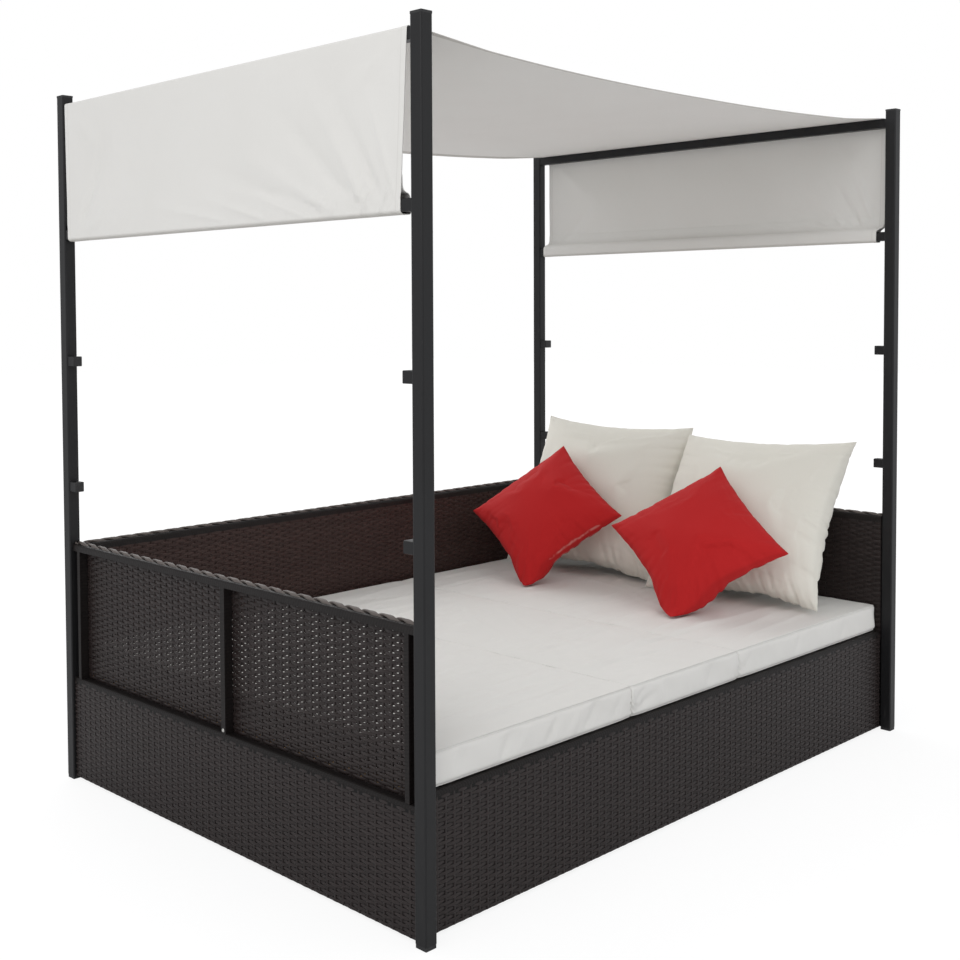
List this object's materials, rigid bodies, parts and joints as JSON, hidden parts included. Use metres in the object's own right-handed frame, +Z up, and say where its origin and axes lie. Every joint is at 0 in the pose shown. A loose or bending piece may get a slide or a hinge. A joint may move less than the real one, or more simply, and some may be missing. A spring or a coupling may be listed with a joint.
{
  "type": "daybed",
  "caption": "Outdoor daybed with woven rattan panels, corner posts and a fabric canopy hung from end bars, with a sectioned mattress and loose cushions.",
  "frame": {"origin": "on the floor under the middle of the frame, the bottom centre of the object's box", "axes": "+X along the length, toward the end that the cushions lean on; the open, low front faces -Y; +Z up"},
  "size_m": [1.9, 1.3, 1.75],
  "materials": {
    "powder_coated_metal": "satin charcoal powder coat",
    "black_plastic": "moulded, matt",
    "rattan_panel": "flat dark brown synthetic rattan, satin",
    "woven_rattan": "open weave of dark brown synthetic rattan, satin",
    "deck_wood": "planed softwood, bare",
    "canopy_fabric": "woven ivory polyester",
    "mattress_fabric": "woven cream polyester",
    "cream_fabric": "woven cream polyester",
    "red_fabric": "woven red polyester"
  },
  "bodies": {
    "frame": {"post_front_left": "powder_coated_metal", "post_cap_front_left": "black_plastic", "foot_front_left": "black_plastic", "bar_joiner_front_left": "black_plastic", "bar_stub_front_left_high": "powder_coated_metal", "bar_stub_front_left_middle": "powder_coated_metal", "stub_plug_front_left_middle": "black_plastic", "bar_stub_front_left_low": "powder_coated_metal", "stub_plug_front_left_low": "black_plastic", "post_front_right": "powder_coated_metal", "post_cap_front_right": "black_plastic", "foot_front_right": "black_plastic", "bar_joiner_front_right": "black_plastic", "bar_stub_front_right_high": "powder_coated_metal", "bar_stub_front_right_middle": "powder_coated_metal", "stub_plug_front_right_middle": "black_plastic", "bar_stub_front_right_low": "powder_coated_metal", "stub_plug_front_right_low": "black_plastic", "post_back_left": "powder_coated_metal", "post_cap_back_left": "black_plastic", "foot_back_left": "black_plastic", "bar_joiner_back_left": "black_plastic", "bar_stub_back_left_high": "powder_coated_metal", "bar_stub_back_left_middle": "powder_coated_metal", "stub_plug_back_left_middle": "black_plastic", "bar_stub_back_left_low": "powder_coated_metal", "stub_plug_back_left_low": "black_plastic", "post_back_right": "powder_coated_metal", "post_cap_back_right": "black_plastic", "foot_back_right": "black_plastic", "bar_joiner_back_right": "black_plastic", "bar_stub_back_right_high": "powder_coated_metal", "bar_stub_back_right_middle": "powder_coated_metal", "stub_plug_back_right_middle": "black_plastic", "bar_stub_back_right_low": "powder_coated_metal", "stub_plug_back_right_low": "black_plastic", "crossbar_left": "powder_coated_metal", "hem_bar_left": "powder_coated_metal", "crossbar_right": "powder_coated_metal", "hem_bar_right": "powder_coated_metal", "canopy": "canopy_fabric", "base_panel_left": "rattan_panel", "base_panel_right": "rattan_panel", "base_panel_front": "rattan_panel", "base_panel_back": "rattan_panel", "upper_frame_left": "rattan_panel", "woven_sheet_left": "woven_rattan", "upper_frame_right": "rattan_panel", "woven_sheet_right": "woven_rattan", "upper_frame_back": "rattan_panel", "woven_sheet_back": "woven_rattan", "deck_frame": "deck_wood"},
    "mattress_left": {"mattress_left": "mattress_fabric"},
    "mattress_middle": {"mattress_middle": "mattress_fabric"},
    "mattress_right": {"mattress_right": "mattress_fabric"},
    "cream_cushion_left": {"cream_cushion_left": "cream_fabric"},
    "cream_cushion_right": {"cream_cushion_right": "cream_fabric"},
    "red_cushion_left": {"red_cushion_left": "red_fabric"},
    "red_cushion_right": {"red_cushion_right": "red_fabric"}
  },
  "joints": [
    {"name": "mattress_left_lift", "type": "slide", "parent": "frame", "child": "mattress_left", "axis": [0, 0, 1], "range_m": [0, 0.25]},
    {"name": "mattress_middle_lift", "type": "slide", "parent": "frame", "child": "mattress_middle", "axis": [0, 0, 1], "range_m": [0, 0.25]},
    {"name": "mattress_right_lift", "type": "slide", "parent": "frame", "child": "mattress_right", "axis": [0, 0, 1], "range_m": [0, 0.25]},
    {"name": "cream_cushion_left_lift", "type": "slide", "parent": "mattress_right", "child": "cream_cushion_left", "axis": [0, 0, 1], "range_m": [0, 0.25]},
    {"name": "cream_cushion_right_lift", "type": "slide", "parent": "mattress_right", "child": "cream_cushion_right", "axis": [0, 0, 1], "range_m": [0, 0.25]},
    {"name": "red_cushion_left_lift", "type": "slide", "parent": "cream_cushion_left", "child": "red_cushion_left", "axis": [0, 0, 1], "range_m": [0, 0.25]},
    {"name": "red_cushion_right_lift", "type": "slide", "parent": "cream_cushion_right", "child": "red_cushion_right", "axis": [0, 0, 1], "range_m": [0, 0.25]}
  ]
}
